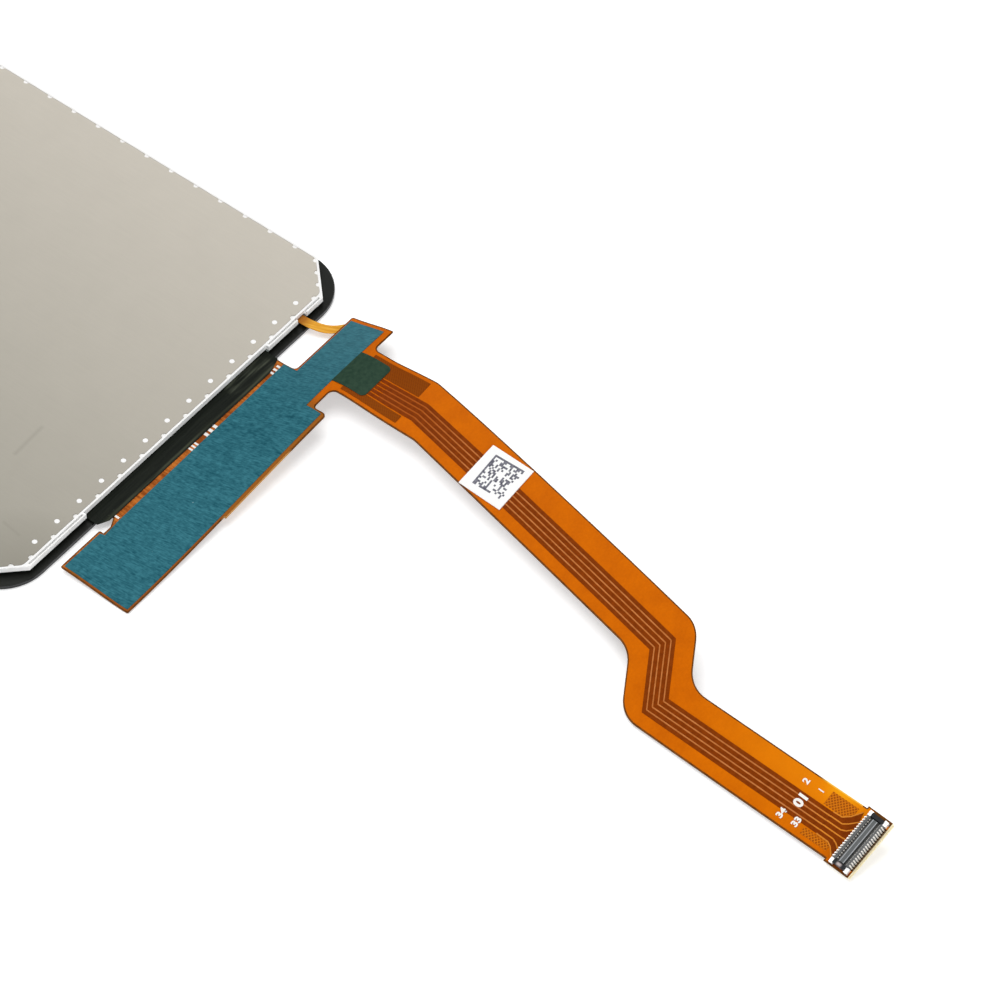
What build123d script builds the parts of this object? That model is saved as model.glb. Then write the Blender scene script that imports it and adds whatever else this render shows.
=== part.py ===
from build123d import *
from math import cos, exp, pi, radians, sin, tan
import os

# Phone display module, lying face down. Sizes are in millimetres.
# Origin: centre of the cover glass's front face. X runs across the display, Y along it with the
# flex at the -Y end, and +Z comes out of the back, so the table is at Z = 0.

# Cover glass
lens_w = 72.6
lens_l = 150.0
lens_t = 0.6
lens_r = 7.3
lens_edge = 0.12
print_gap = 0.1
print_t = 0.04
window_side = 2.1
window_top = 5.0
window_bottom = 9.0

# Layers of the display, from the cover glass to the back
adhesive_t = 0.1
polarizer_t = 0.1
filter_t = 0.15
tft_t = 0.15
rim_tape_t = 0.06
prism_t = 0.08
diffuser_t = 0.08
guide_t = 0.34
reflector_t = 0.08
sheet_t = 0.14

# Backlight frame, its margin to the cover glass and its shoulder, rim, slot and rail
side_margin = 0.75
end_margin = 1.03
frame_corner = 5.22
rim_w = 0.3
slot_w = 0.3
rail_w = 0.22
slot_depth = 0.5
shoulder_w = 1.6
bar_w = 0.6
opening_r = 6.5
fit = 0.05
recess_fit = 0.2
tunnel_h = 0.2

# Glass stack
glass_inset = 0.15
ledge_w = 3.1
polarizer_inset = 0.3
rim_tape_w = 1.2

# Grey rear sheet: holes along the flex end, bites along every edge
sheet_corner = 4.5
sheet_corner_r = 1.2
hole_r = 0.38
hole_columns = 13
hole_side = 8.2
hole_inset = 1.4
hole_shift = 0.27
bite_r = 0.42
corner_bite_at = (0.25, 0.6, 0.95)

# Light bar and its flex tail, which runs out of the frame and under the board
led_count = 12
led_side = 1.65
led_size_x = 3.0
led_size_y = 0.7
led_size_z = 0.42
led_inset = 0.3
strip_side = 0.25
strip_w = 1.7
strip_t = 0.08
guide_gap = 0.1
light_tail_w = 1.4
light_tail_side = 0.8
light_tail_turn = 50.0
light_tail_under = 0.9
light_tail_gap = 0.05
exit_w = 1.9

# Ledge: driver chip, bond and tape
chip_l = 22.0
chip_w = 0.8
chip_t = 0.2
chip_gap = 0.7
bond_w = 0.65
bond_t = 0.04
bond_gap = 0.02
ledge_tape_t = 0.06
ledge_tape_half = 18.7
ledge_tape_reach = 1.45
ledge_tape_fall = 0.5
tape_cut_rise = 0.8
tape_cut_left = 1.6
tape_cut_right = 2.5

# Flex film: the board part
flex_t = 0.12
cover_t = 0.06
cover_inset = 0.2
board_left = -27.15
board_right = 30.75
board_start = 1.5
board_h = 11.8
tab_left = -16.4
tab_right = 18.65
shelf_drop = 2.4
step_x = 13.7
step_rise = 2.05
jog_x = -7.4
jog = 0.3
bump_left = -19.2
bump_depth = 0.7
bump_w = 1.4
board_r = 0.25
shelf_r = 0.6
step_r = 0.7

# Flex film: the four legs of the tail, each with its heading from -Y, its length and its width
tail_x = 22.07
leg_turn = (0.0, 12.1, 58.4, 3.1)
leg_run = (12.75, 49.8, 9.0, 32.5)
leg_w = (9.0, 8.15, 8.7, 7.95)
bend_r = 5.0
root_r = 0.9
pad_w = 8.6
pad_l = 4.25
pad_turn = 1.6
pad_overlap = 0.15

# How the film lies above the table
rest_gap = 0.1
board_rise = 3.5
rise_run = 50.0
twist_fast = 15.0
twist_reach = 0.12
twist_slow = 5.5
tail_arch = 0.75
tail_end_z = 2.3
root_blend = 6.0
tail_span = 12.0

# Films, copper and label on the flex
film_t = 0.08
film_edge = 0.42
film_side = 0.2
film_shelf = 0.35
film_foot = 1.15
film_right = 0.75
tongue_w = 6.3
tongue_l = 5.5
tongue_r = 0.8
layer_gap = 0.01
track_t = 0.06
track_w = 0.5
track_gap = 0.2
track_count = 5
track_shift = (-0.66, -0.75, 0.0, -0.48)
mesh_t = 0.05
mesh_root_start = 0.9
mesh_root_end = 10.5
mesh_end_start = 27.4
mesh_end_end = 31.7
mesh_clear = 0.2
mesh_edge = 0.7
label_w = 6.85
label_l = 7.35
label_t = 0.1
label_at = 15.2
label_shift = -0.14
label_turn = 8.5

# Connector
contact_count = 17
contact_pitch = 0.4
contact_w = 0.2
contact_t = 0.12
contact_out = 0.42
contact_fit = 0.02
connector_x = -0.05
connector_y = -0.25
housing_l = 8.3
housing_w = 2.75
housing_h = 0.85
groove_l = 7.2
groove_w = 1.75
groove_depth = 0.55
ridge_l = 6.9
ridge_w = 0.75
ridge_h = 0.75
beam_h = 0.6
seat_gap = 0.04
tab_l = 0.75
tab_w = 0.55
tab_h = 0.6
tab_out = 0.15
stiffener_t = 0.25
stiffener_l = 9.0
stiffener_w = 4.45
stiffener_out = 0.05

# Heights of the layers, worked out from the table upwards
z_print = lens_t
z_adhesive = z_print + print_t
z_front_pol = z_adhesive + adhesive_t
z_filter = z_front_pol + polarizer_t
z_tft = z_filter + filter_t
z_rear_pol = z_tft + tft_t
z_rim_tape = z_rear_pol + polarizer_t
z_frame = z_rim_tape + rim_tape_t
z_prism_up = z_frame
z_prism_low = z_prism_up + prism_t
z_diffuser = z_prism_low + prism_t
z_guide = z_diffuser + diffuser_t
z_reflector = z_guide + guide_t
z_sheet = z_reflector + reflector_t
z_top = z_sheet + sheet_t

# Outlines of the frame, the grey sheet, the opening for the light and the glass
frame_w = lens_w - 2 * side_margin
lens_end = -lens_l / 2
frame_end = lens_end + end_margin
frame_top = -frame_end
rim_end = frame_end + rail_w + slot_w
sheet_end = rim_end + rim_w + fit
sheet_top = frame_top - rim_w - fit
sheet_half = frame_w / 2 - rim_w - fit
opening_half = sheet_half - shoulder_w
opening_end = sheet_end + bar_w
opening_top = sheet_top - shoulder_w
inner_half = opening_half - fit
inner_top = opening_top - fit
glass_half = frame_w / 2 - glass_inset
glass_top = frame_top - glass_inset
tft_end = frame_end + glass_inset
filter_end = tft_end + ledge_w
film_half = glass_half - polarizer_inset
film_top = glass_top - polarizer_inset
film_end = rim_end + polarizer_inset

# Holes and bites of the grey sheet
hole_pitch = 2 * (sheet_half - hole_side) / (hole_columns - 1)
bite_columns = hole_columns + 1
side_bites = int((sheet_top - sheet_end - 2 * sheet_corner) / hole_pitch)

# Light bar, measured from the opening's end and corners
strip_half = inner_half - opening_r - strip_side
led_pitch = 2 * (strip_half - led_size_x / 2 - led_side) / (led_count - 1)
light_tail_x = strip_half - light_tail_side
recess_half = ledge_tape_half + recess_fit
strip_end = opening_end + fit
led_y = strip_end + led_inset + led_size_y / 2
guide_end = led_y + led_size_y / 2 + guide_gap
light_film_end = strip_end + strip_w + fit

# Plan of the flex
bond_end = tft_end + bond_w
board_top = lens_end - board_start
board_low = board_top - board_h
shelf = board_top - shelf_drop
root_y = board_low + step_rise
film_top_t = flex_t + cover_t
bond_z = z_tft - bond_t - bond_gap - film_top_t
edge_z = rest_gap + board_rise


def step_from(point, heading, run):
    """Point reached from another over a run, with the heading measured from -Y towards -X."""
    return (point[0] - run * sin(radians(heading)), point[1] - run * cos(radians(heading)))


# Centre line of the tail: the start of each leg, then the end of the last one
nodes = [(tail_x, root_y)]
for heading, run in zip(leg_turn, leg_run):
    nodes.append(step_from(nodes[-1], heading, run))
tail_end = nodes[-1]
tail_drop = board_low - tail_end[1]
pad_heading = leg_turn[3] + pad_turn
pad_middle = step_from(tail_end, pad_heading, pad_l / 2 - pad_overlap)


def smooth(t):
    """Ease from 0 to 1 with level ends."""
    t = min(max(t, 0.0), 1.0)
    return t * t * (3 - 2 * t)


def mix(a, b, t):
    return a + (b - a) * t


def lift(x, y):
    """Height of the flex film's underside: flat at the bond, rising to +X, twisted along the tail."""
    edge = rest_gap + board_rise * smooth((x - board_left) / rise_run)
    if y > board_low:
        return mix(bond_z, edge, smooth((board_top - y) / board_h))
    s = (board_low - y) / tail_drop
    axis_x = mix(tail_x, tail_end[0], s)
    axis_z = edge_z + tail_arch * sin(pi * s) - (edge_z - tail_end_z) * s
    turn = twist_fast * (1 - exp(-s / twist_reach)) + twist_slow * s
    aside = (x - axis_x) / (1 + ((x - axis_x) / tail_span) ** 6) ** (1 / 6)
    tail = axis_z + tan(radians(turn)) * aside
    return mix(edge, tail, smooth((board_low - y) / root_blend))


def strand(shifts):
    """Corners of a line beside the tail's centre line, shifted towards +X by one value per leg."""
    starts = []
    for node, heading, shift in zip(nodes, leg_turn, shifts):
        starts.append(step_from(node, heading - 90, shift))
    points = [starts[0]]
    for i in range(1, len(shifts)):
        a = radians(leg_turn[i - 1])
        b = radians(leg_turn[i])
        gap_x = starts[i][0] - starts[i - 1][0]
        gap_y = starts[i][1] - starts[i - 1][1]
        run = (sin(b) * gap_y - cos(b) * gap_x) / sin(a - b)
        points.append(step_from(starts[i - 1], leg_turn[i - 1], run))
    points.append(step_from(tail_end, leg_turn[-1] - 90, shifts[-1]))
    return points


def spot(leg, run, shift):
    """Place on the tail: a run along a leg and a shift towards +X."""
    along = step_from(nodes[leg], leg_turn[leg], run)
    return step_from(along, leg_turn[leg] - 90, shift)


def box_between(x0, x1, y0, y1, mode=Mode.ADD):
    """Rectangle of the open sketch, given by its sides."""
    with Locations(((x0 + x1) / 2, (y0 + y1) / 2)):
        Rectangle(x1 - x0, y1 - y0, mode=mode)


def cut_corners(half, low, high, corner, mode=Mode.ADD):
    """Rectangle of the open sketch with its four corners cut off."""
    with BuildLine() as outline:
        Polyline(
            (half - corner, low), (half, low + corner),
            (half, high - corner), (half - corner, high),
            (corner - half, high), (-half, high - corner),
            (-half, low + corner), (corner - half, low),
            close=True,
        )
    make_face(outline.edges(), mode=mode)


def round_corners(half, low, high, radius, mode=Mode.ADD):
    """Rectangle of the open sketch with its four corners rounded."""
    with Locations((0, (low + high) / 2)):
        RectangleRounded(2 * half, high - low, radius, mode=mode)


def slab(x0, x1, y0, y1, z0, z1):
    """Plain block as a part of its own."""
    with BuildPart() as block:
        with BuildSketch(Plane.XY.offset(z0)):
            box_between(x0, x1, y0, y1)
        extrude(amount=z1 - z0)
    return block


def glass_layer(half, low, high, z0, z1):
    """Layer of the display with cut corners."""
    with BuildPart() as layer:
        with BuildSketch(Plane.XY.offset(z0)):
            cut_corners(half, low, high, frame_corner)
        extrude(amount=z1 - z0)
    return layer


def light_layer(end, z0, z1):
    """Layer that fills the frame's opening from y = end to its far side."""
    with BuildPart() as layer:
        with BuildSketch(Plane.XY.offset(z0)):
            round_corners(inner_half, strip_end, inner_top, opening_r - fit)
            box_between(-inner_half, inner_half, end, inner_top, mode=Mode.INTERSECT)
        extrude(amount=z1 - z0)
    return layer


def keep(builder, name):
    """Label a finished piece and write it to parts/NAME.step."""
    builder.part.label = name
    export_step(builder.part, f"parts/{name}.step")


os.makedirs("parts", exist_ok=True)

# Cover glass, ink border and clear adhesive
with BuildPart() as cover_lens:
    with BuildSketch():
        RectangleRounded(lens_w, lens_l, lens_r)
    extrude(amount=lens_t)
    chamfer(cover_lens.faces().sort_by(Axis.Z)[0].edges(), lens_edge)

window_half = lens_w / 2 - window_side
window_low = lens_end + window_bottom
window_high = -lens_end - window_top
with BuildPart() as border_print:
    with BuildSketch(Plane.XY.offset(z_print)):
        RectangleRounded(lens_w - 2 * print_gap, lens_l - 2 * print_gap, lens_r - print_gap)
        box_between(-window_half, window_half, window_low, window_high, mode=Mode.SUBTRACT)
    extrude(amount=print_t)

with BuildPart() as optical_adhesive:
    with BuildSketch(Plane.XY.offset(z_print)):
        box_between(-window_half, window_half, window_low, window_high)
    extrude(amount=print_t)
    with BuildSketch(Plane.XY.offset(z_adhesive)):
        cut_corners(glass_half, filter_end, glass_top, frame_corner)
    extrude(amount=adhesive_t)

# Glass stack with its polarizers
front_end = filter_end + polarizer_inset
front_polarizer = glass_layer(film_half, front_end, film_top, z_front_pol, z_filter)
colour_filter_glass = glass_layer(glass_half, filter_end, glass_top, z_filter, z_tft)
tft_glass = glass_layer(glass_half, tft_end, glass_top, z_tft, z_rear_pol)
rear_polarizer = glass_layer(film_half, film_end, film_top, z_rear_pol, z_rim_tape)

# Ring tape that carries the backlight
tape_half = frame_w / 2 - glass_inset - fit
tape_end = rim_end + 2 * fit
tape_top = glass_top - fit
with BuildPart() as rim_tape:
    with BuildSketch(Plane.XY.offset(z_rim_tape)):
        cut_corners(tape_half, tape_end, tape_top, frame_corner)
        cut_corners(
            tape_half - rim_tape_w, tape_end + rim_tape_w, tape_top - rim_tape_w,
            frame_corner, mode=Mode.SUBTRACT,
        )
    extrude(amount=rim_tape_t)

# Backlight films, light guide and white reflector
prism_film_upper = light_layer(light_film_end, z_prism_up, z_prism_low)
prism_film_lower = light_layer(light_film_end, z_prism_low, z_diffuser)
diffuser_film = light_layer(light_film_end, z_diffuser, z_guide)
light_guide = light_layer(guide_end, z_guide, z_reflector)
white_reflector = light_layer(strip_end, z_reflector, z_sheet)

# Grey rear sheet
hole_y = sheet_end + hole_inset
middle_y = (sheet_end + sheet_top) / 2
with BuildPart() as rear_sheet:
    with BuildSketch(Plane.XY.offset(z_sheet)) as rear_plan:
        cut_corners(sheet_half, sheet_end, sheet_top, sheet_corner)
        fillet(rear_plan.vertices(), sheet_corner_r)
        with Locations((hole_shift, hole_y), (hole_shift, sheet_top - hole_inset)):
            with GridLocations(hole_pitch, 0, hole_columns, 1):
                Circle(hole_r, mode=Mode.SUBTRACT)
        with Locations((hole_shift, sheet_end), (hole_shift, sheet_top)):
            with GridLocations(hole_pitch, 0, bite_columns, 1):
                Circle(bite_r, mode=Mode.SUBTRACT)
        with Locations((-sheet_half, middle_y), (sheet_half, middle_y)):
            with GridLocations(0, hole_pitch, 1, side_bites):
                Circle(bite_r, mode=Mode.SUBTRACT)
        for side in (-1, 1):
            for along in corner_bite_at:
                x = side * (sheet_half - sheet_corner * (1 - along))
                with Locations((x, sheet_end + sheet_corner * along), (x, sheet_top - sheet_corner * along)):
                    Circle(bite_r, mode=Mode.SUBTRACT)
    extrude(amount=sheet_t)

# White frame: pocket for the sheet, opening for the light, slots and recess at the flex end
with BuildPart() as backlight_frame:
    with BuildSketch(Plane.XY.offset(z_frame)):
        cut_corners(frame_w / 2, frame_end, frame_top, frame_corner)
        box_between(-recess_half, recess_half, frame_end - fit, rim_end, mode=Mode.SUBTRACT)
        round_corners(opening_half, opening_end, opening_top, opening_r, mode=Mode.SUBTRACT)
    extrude(amount=z_top - z_frame)
    with BuildSketch(Plane.XY.offset(z_sheet)) as pocket:
        cut_corners(sheet_half + fit, sheet_end - fit, sheet_top + fit, sheet_corner + fit / 2)
        fillet(pocket.vertices(), sheet_corner_r)
    extrude(amount=sheet_t, mode=Mode.SUBTRACT)
    slot_out = frame_w / 2 - frame_corner - slot_w
    slot_in = recess_half + slot_w
    with BuildSketch(Plane.XY.offset(z_top - slot_depth)):
        for side in (-1, 1):
            with Locations((side * (slot_in + slot_out) / 2, rim_end - slot_w / 2)):
                Rectangle(slot_out - slot_in, slot_w)
    extrude(amount=slot_depth, mode=Mode.SUBTRACT)
    with BuildSketch(Plane.XY.offset(z_frame)):
        with Locations((light_tail_x, frame_end)):
            Rectangle(exit_w, 2 * (rim_end - frame_end))
    extrude(amount=z_top - z_frame, mode=Mode.SUBTRACT)
    with BuildSketch(Plane.XY.offset(z_frame)):
        with Locations((light_tail_x, opening_end - bar_w)):
            Rectangle(exit_w, 2 * bar_w + 2 * rim_w)
    extrude(amount=tunnel_h, mode=Mode.SUBTRACT)


# Light bar's flex: a strip in the frame, and a tail that bends sideways and slips under the board
bend = radians(light_tail_turn)
light_reach = frame_end - shelf
light_bend_r = light_reach / sin(bend)
light_end_x = light_tail_x + light_bend_r * (1 - cos(bend))


def under_board(run):
    """Height of the tail's underside at a distance from the frame's end, below the board."""
    y = frame_end - run
    return min(lift(light_tail_x, y), lift(light_end_x + light_tail_w, y)) - light_tail_gap - strip_t


route = [(-fit, z_frame), (0.12 * light_reach, z_frame)]
for run in (light_reach, light_reach + light_tail_under + light_tail_w):
    route.append((run, under_board(run)))
with BuildPart() as light_tail:
    with BuildSketch(Plane(origin=(light_tail_x, frame_end, 0), x_dir=(0, -1, 0), z_dir=(-1, 0, 0))):
        with BuildLine():
            low = Spline(*route, tangents=((1, 0), (1, 0.3)))
            high = Spline(*[(d, z + strip_t) for d, z in route], tangents=((1, 0), (1, 0.3)))
            Line(low @ 0, high @ 0)
            Line(low @ 1, high @ 1)
        make_face()
    extrude(amount=light_bend_r, both=True)
    with BuildSketch():
        with BuildLine():
            sides = []
            for side in (-1, 1):
                start = (light_tail_x + side * light_tail_w / 2, frame_end)
                arc = JernArc(start, (0, -1), light_bend_r - side * light_tail_w / 2, light_tail_turn)
                tip = step_from(tuple(arc @ 1), -light_tail_turn, light_tail_under)
                Line(arc @ 1, tip)
                sides.append((start, tip))
            Line(sides[0][0], sides[1][0])
            Line(sides[0][1], sides[1][1])
        make_face()
    extrude(amount=z_top, mode=Mode.INTERSECT)

with BuildPart() as led_strip:
    with BuildSketch(Plane.XY.offset(z_frame)):
        box_between(-strip_half, strip_half, strip_end, strip_end + strip_w)
        box_between(
            light_tail_x - light_tail_w / 2, light_tail_x + light_tail_w / 2,
            frame_end, strip_end + fit,
        )
    extrude(amount=strip_t)
    add(light_tail.part)

with BuildPart() as leds:
    with BuildSketch(Plane.XY.offset(z_frame + strip_t)):
        with Locations((0, led_y)):
            with GridLocations(led_pitch, 0, led_count, 1):
                Rectangle(led_size_x, led_size_y)
    extrude(amount=led_size_z)

# Ledge: driver chip, bond to the flex and black tape
chip_y = bond_end + chip_gap
driver_chip = slab(-chip_l / 2, chip_l / 2, chip_y, chip_y + chip_w, z_tft - chip_t, z_tft)
bond_film = slab(
    tab_left + film_side, tab_right - film_side, tft_end + fit, bond_end, z_tft - bond_t, z_tft
)
tape_flat = z_tft - bond_t + layer_gap
tape_far = lens_end - ledge_tape_reach
with BuildPart() as ledge_tape:
    with BuildSketch(Plane.YZ):
        with BuildLine():
            Polyline(
                (rim_end + 2 * fit, z_rear_pol), (tft_end - layer_gap, z_rear_pol),
                (tft_end - ledge_tape_fall, tape_flat), (tape_far, tape_flat),
                (tape_far, tape_flat + ledge_tape_t),
                (tft_end - ledge_tape_fall, tape_flat + ledge_tape_t),
                (tft_end - layer_gap, z_rear_pol + ledge_tape_t),
                (rim_end + 2 * fit, z_rear_pol + ledge_tape_t),
                close=True,
            )
        make_face()
    extrude(amount=ledge_tape_half, both=True)
    with BuildSketch():
        for side, cut in ((-1, tape_cut_left), (1, tape_cut_right)):
            with BuildLine():
                Polyline(
                    (side * ledge_tape_half, tape_far), (side * (ledge_tape_half - cut), tape_far),
                    (side * ledge_tape_half, tape_far + tape_cut_rise), close=True,
                )
            make_face()
    extrude(amount=z_top, mode=Mode.SUBTRACT)

# Curved sheet that the flex and everything on it follow
margin = 1.5
columns = 11
rows = 41
low_y = pad_middle[1] - pad_l - margin
high_y = bond_end + margin


def film_line(x):
    """Curve along Y on the film's underside."""
    places = [mix(low_y, high_y, j / (rows - 1)) for j in range(rows)]
    return Wire([Edge.make_spline([(x, y, lift(x, y)) for y in places])])


sheet_x = [mix(board_left - margin, board_right + margin, i / (columns - 1)) for i in range(columns)]
film_surface = Shell.make_loft([film_line(x) for x in sheet_x]).faces()[0]
deep = 4.0
tall = 16.0


def skin(rise, thick):
    """Solid that follows the curved sheet at a height above the film's underside."""
    moved = film_surface.moved(Location((0, 0, rise)))
    return Solid.extrude(moved, Vector(0, 0, thick))


def soften(sketch, places, radius):
    """Round the corners of a sketch that lie nearest to the given places."""
    picked = [sketch.vertices().sort_by_distance(place)[0] for place in places]
    fillet(picked, radius)


def laid_on_film(rise, thick):
    """Turn the open part's tall plan into a layer that follows the film."""
    extrude(amount=tall)
    add(skin(rise, thick), mode=Mode.INTERSECT)


left_edge = strand([-w / 2 for w in leg_w])
right_edge = strand([w / 2 for w in leg_w])
with BuildPart() as flex:
    with BuildSketch(Plane.XY.offset(-deep)) as flex_plan:
        with BuildLine():
            Polyline(
                (tab_left, bond_end), (tab_right, bond_end), (tab_right, shelf),
                (board_right, shelf), (board_right, root_y), (step_x, root_y),
                (step_x, board_low - jog), (jog_x, board_low - jog), (jog_x, board_low),
                (board_left, board_low), (board_left, board_top), (bump_left, board_top),
                (bump_left, board_top - bump_depth),
                (bump_left + bump_w, board_top - bump_depth),
                (tab_left, board_top),
                close=True,
            )
        make_face()
        with BuildLine():
            right = FilletPolyline(*right_edge, radius=bend_r)
            left = FilletPolyline(*left_edge, radius=bend_r)
            Line(right @ 0, left @ 0)
            Line(right @ 1, left @ 1)
        make_face()
        with Locations(pad_middle):
            Rectangle(pad_w, pad_l, rotation=-pad_heading)
        soften(flex_plan, [right_edge[0], left_edge[0]], root_r)
        soften(flex_plan, [(tab_right, shelf), (step_x, root_y)], shelf_r)
        soften(flex_plan, [(step_x, board_low - jog)], step_r)
        soften(flex_plan, [
            (board_left, board_low), (board_left, board_top), (board_right, shelf),
            (board_right, root_y), (bump_left, board_top),
        ], board_r)
    laid_on_film(0, flex_t)

# Orange cover film over copper, a little inside the flex's outline
with BuildPart() as cover_film:
    with BuildSketch(Plane.XY.offset(-deep)):
        add(flex_plan.sketch_local)
        offset(amount=-cover_inset)
    laid_on_film(flex_t, cover_t)

# Teal film over the board and dark green film at the tail's root
film_low = root_y + film_foot
with BuildPart() as board_film:
    with BuildSketch(Plane.XY.offset(-deep)) as film_plan:
        with BuildLine():
            Polyline(
                (board_left + film_edge, board_top - film_edge),
                (bump_left - film_edge, board_top - film_edge),
                (bump_left - film_side, board_top - bump_depth - film_edge),
                (tab_left, board_top - bump_depth - film_side),
                (tab_right - film_side, board_top - film_edge),
                (tab_right - film_side, shelf - film_shelf),
                (board_right - film_right, shelf - film_shelf),
                (board_right - film_right, film_low), (step_x - film_side, film_low),
                (step_x - film_edge, board_low + film_edge),
                (board_left + film_edge, board_low + film_edge),
                close=True,
            )
        make_face()
    laid_on_film(film_top_t, film_t)

tongue_high = film_low - layer_gap
tongue_low = tongue_high - tongue_l
with BuildPart() as tongue_film:
    with BuildSketch(Plane.XY.offset(-deep)) as tongue_plan:
        box_between(tail_x - tongue_w / 2, tail_x + tongue_w / 2, tongue_low, tongue_high)
        soften(tongue_plan, [(tail_x - tongue_w / 2, tongue_low), (tail_x + tongue_w / 2, tongue_low)], tongue_r)
    laid_on_film(film_top_t + track_t + layer_gap, film_t)

# Copper: five bands along the tail, and four patches beside them
track_step = track_w + track_gap
track_half = (track_count * track_step - track_gap) / 2
with BuildPart() as signal_tracks:
    with BuildSketch(Plane.XY.offset(-deep)):
        for k in range(track_count):
            start = k * track_step - track_half
            one = strand([shift + start for shift in track_shift])
            other = strand([shift + start + track_w for shift in track_shift])
            with BuildLine():
                Polyline(*one, *reversed(other), close=True)
            make_face()
    laid_on_film(film_top_t, track_t)

with BuildPart() as ground_mesh:
    with BuildSketch(Plane.XY.offset(-deep)):
        for leg, first, last in (
            (0, mesh_root_start, mesh_root_end), (3, mesh_end_start, mesh_end_end),
        ):
            for side in (-1, 1):
                outer = side * (leg_w[leg] / 2 - mesh_edge)
                inner = track_shift[leg] + side * (track_half + mesh_clear)
                with BuildLine():
                    Polyline(
                        spot(leg, first, inner), spot(leg, first, outer),
                        spot(leg, last, outer), spot(leg, last, inner), close=True,
                    )
                make_face()
    laid_on_film(film_top_t, mesh_t)

with BuildPart() as code_label:
    with BuildSketch(Plane.XY.offset(-deep)):
        with Locations(spot(1, label_at, label_shift)):
            Rectangle(label_w, label_l, rotation=label_turn - leg_turn[1])
    laid_on_film(film_top_t + track_t + layer_gap, label_t)

# Seat of the connector: the plane that touches the film's underside at the pad's middle
probe = 0.5
slope_x = (lift(pad_middle[0] + probe, pad_middle[1]) - lift(pad_middle[0] - probe, pad_middle[1]))
slope_y = (lift(pad_middle[0], pad_middle[1] + probe) - lift(pad_middle[0], pad_middle[1] - probe))
slope_x = slope_x / (2 * probe)
slope_y = slope_y / (2 * probe)
row_x = cos(radians(pad_heading))
row_y = -sin(radians(pad_heading))
pad_plane = Plane(
    origin=(*pad_middle, lift(*pad_middle)),
    x_dir=(row_x, row_y, slope_x * row_x + slope_y * row_y),
    z_dir=(-slope_x, -slope_y, 1),
)
seat = pad_plane.offset(film_top_t + seat_gap)
wall_in = groove_w / 2
foot_out = housing_w / 2 + contact_out


def place_in_rows(inner, outer, width):
    """Rectangles of the open sketch for both rows of contacts, between two distances in Y."""
    for side in (-1, 1):
        with Locations((connector_x, connector_y + side * (inner + outer) / 2)):
            with GridLocations(contact_pitch, 0, contact_count, 1):
                Rectangle(width, outer - inner)


def place_tabs(grow):
    """Rectangles of the open sketch for the four hold-down tabs."""
    tab_x = housing_l / 2 + tab_out - tab_l / 2
    tab_y = housing_w / 2 + tab_out - tab_w / 2
    with Locations((connector_x, connector_y)):
        with GridLocations(2 * tab_x, 2 * tab_y, 2, 2):
            Rectangle(tab_l + 2 * grow, tab_w + 2 * grow)


with BuildPart() as connector_contacts:
    with BuildSketch(seat):
        place_in_rows(wall_in - contact_t, foot_out, contact_w)
    extrude(amount=contact_t)
    with BuildSketch(seat):
        place_in_rows(wall_in - contact_t, wall_in, contact_w)
    extrude(amount=beam_h)

with BuildPart() as connector_holddowns:
    with BuildSketch(seat):
        place_tabs(0)
    extrude(amount=tab_h)

with BuildPart() as connector_housing:
    with BuildSketch(seat):
        with Locations((connector_x, connector_y)):
            Rectangle(housing_l, housing_w)
    extrude(amount=housing_h)
    with BuildSketch(seat.offset(housing_h - groove_depth)):
        with Locations((connector_x, connector_y)):
            Rectangle(groove_l, groove_w)
            Rectangle(ridge_l, ridge_w, mode=Mode.SUBTRACT)
    extrude(amount=groove_depth, mode=Mode.SUBTRACT)
    with BuildSketch(seat.offset(ridge_h)):
        with Locations((connector_x, connector_y)):
            Rectangle(groove_l, groove_w)
    extrude(amount=housing_h - ridge_h, mode=Mode.SUBTRACT)
    with BuildSketch(seat):
        place_in_rows(wall_in - contact_t - contact_fit, foot_out, contact_w + 2 * contact_fit)
    extrude(amount=contact_t + contact_fit, mode=Mode.SUBTRACT)
    with BuildSketch(seat):
        place_in_rows(
            wall_in - contact_t - contact_fit, wall_in + contact_fit, contact_w + 2 * contact_fit
        )
    extrude(amount=beam_h + contact_fit, mode=Mode.SUBTRACT)
    with BuildSketch(seat):
        place_tabs(contact_fit)
    extrude(amount=housing_h, mode=Mode.SUBTRACT)

with BuildPart() as stiffener:
    with BuildSketch(pad_plane.offset(-seat_gap)):
        with Locations((0, -stiffener_out)):
            Rectangle(stiffener_l, stiffener_w)
    extrude(amount=-stiffener_t)

pieces = dict(
    cover_lens=cover_lens, border_print=border_print, optical_adhesive=optical_adhesive,
    front_polarizer=front_polarizer, colour_filter_glass=colour_filter_glass,
    tft_glass=tft_glass, rear_polarizer=rear_polarizer, rim_tape=rim_tape,
    prism_film_upper=prism_film_upper, prism_film_lower=prism_film_lower,
    diffuser_film=diffuser_film, light_guide=light_guide, white_reflector=white_reflector,
    rear_sheet=rear_sheet, backlight_frame=backlight_frame, led_strip=led_strip, leds=leds,
    driver_chip=driver_chip, bond_film=bond_film, ledge_tape=ledge_tape, flex=flex,
    cover_film=cover_film, board_film=board_film, tongue_film=tongue_film, signal_tracks=signal_tracks,
    ground_mesh=ground_mesh, code_label=code_label, connector_contacts=connector_contacts,
    connector_holddowns=connector_holddowns, connector_housing=connector_housing,
    stiffener=stiffener,
)
for name, piece in pieces.items():
    keep(piece, name)
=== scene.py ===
# %% [markdown]
# # Phone display module
# The module lies face down: a black-bordered cover glass, a white moulded frame, a grey rear sheet,
# and a flex with a teal board, a long cranked tail and a small connector. The solids are loaded as
# they are. Everything below adds finishes, printed marks, light and a camera.

# %% Load the frame
import bpy
import bmesh
import random
from math import cos, pi, radians, sin
from mathutils import Matrix, Vector
from mathutils.bvhtree import BVHTree


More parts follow.
